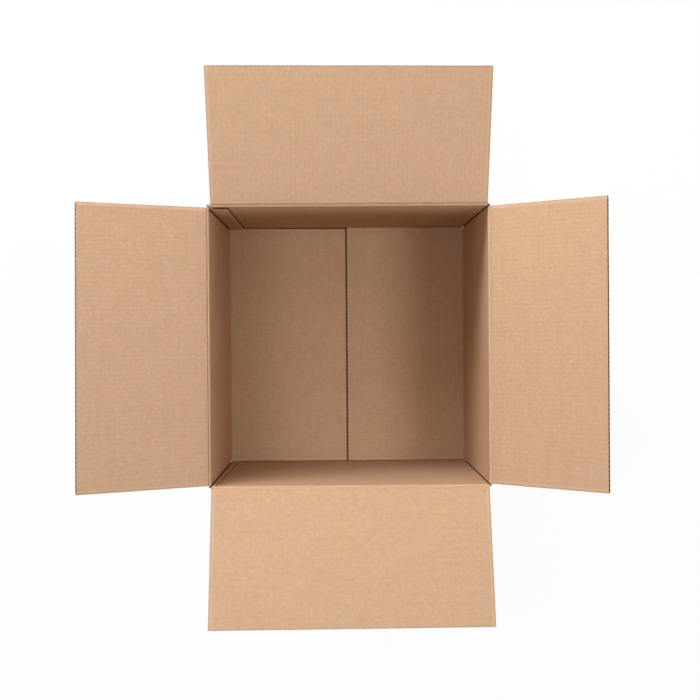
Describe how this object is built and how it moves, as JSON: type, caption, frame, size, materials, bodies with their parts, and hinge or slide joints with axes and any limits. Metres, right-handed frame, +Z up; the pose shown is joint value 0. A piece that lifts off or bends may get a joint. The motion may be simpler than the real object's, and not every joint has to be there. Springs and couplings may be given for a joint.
{
  "type": "open cardboard box",
  "caption": "Square corrugated shipping box of kraft board, open at the top, with hinged top flaps and a taped bottom.",
  "frame": {"origin": "centre of the underside, where the box stands", "axes": "+X to the right wall, +Y to the back wall, +Z up out of the open top; the front is -Y"},
  "size_m": [0.72, 0.7764, 0.5541],
  "materials": {
    "kraft_board": "matte",
    "packing_tape": "glossy"
  },
  "bodies": {
    "box": {"box_body": "kraft_board", "bottom_tape": "packing_tape"},
    "back_flap": {"back_flap": "kraft_board"},
    "front_flap": {"front_flap": "kraft_board"},
    "left_flap": {"left_flap": "kraft_board"},
    "right_flap": {"right_flap": "kraft_board"}
  },
  "joints": [
    {"name": "back_flap_hinge", "type": "hinge", "parent": "box", "child": "back_flap", "pos_m": [0, 0.203, 0.4128], "axis": [1, 0, 0], "range_deg": [-110.2, 154.8]},
    {"name": "front_flap_hinge", "type": "hinge", "parent": "box", "child": "front_flap", "pos_m": [0, -0.203, 0.4128], "axis": [-1, 0, 0], "range_deg": [-106.8, 158.2]},
    {"name": "left_flap_hinge", "type": "hinge", "parent": "box", "child": "left_flap", "pos_m": [-0.203, 0, 0.4094], "axis": [0, 1, 0], "range_deg": [-117.2, 147.8]},
    {"name": "right_flap_hinge", "type": "hinge", "parent": "box", "child": "right_flap", "pos_m": [0.203, 0, 0.4094], "axis": [0, -1, 0], "range_deg": [-129.9, 135.1]}
  ]
}
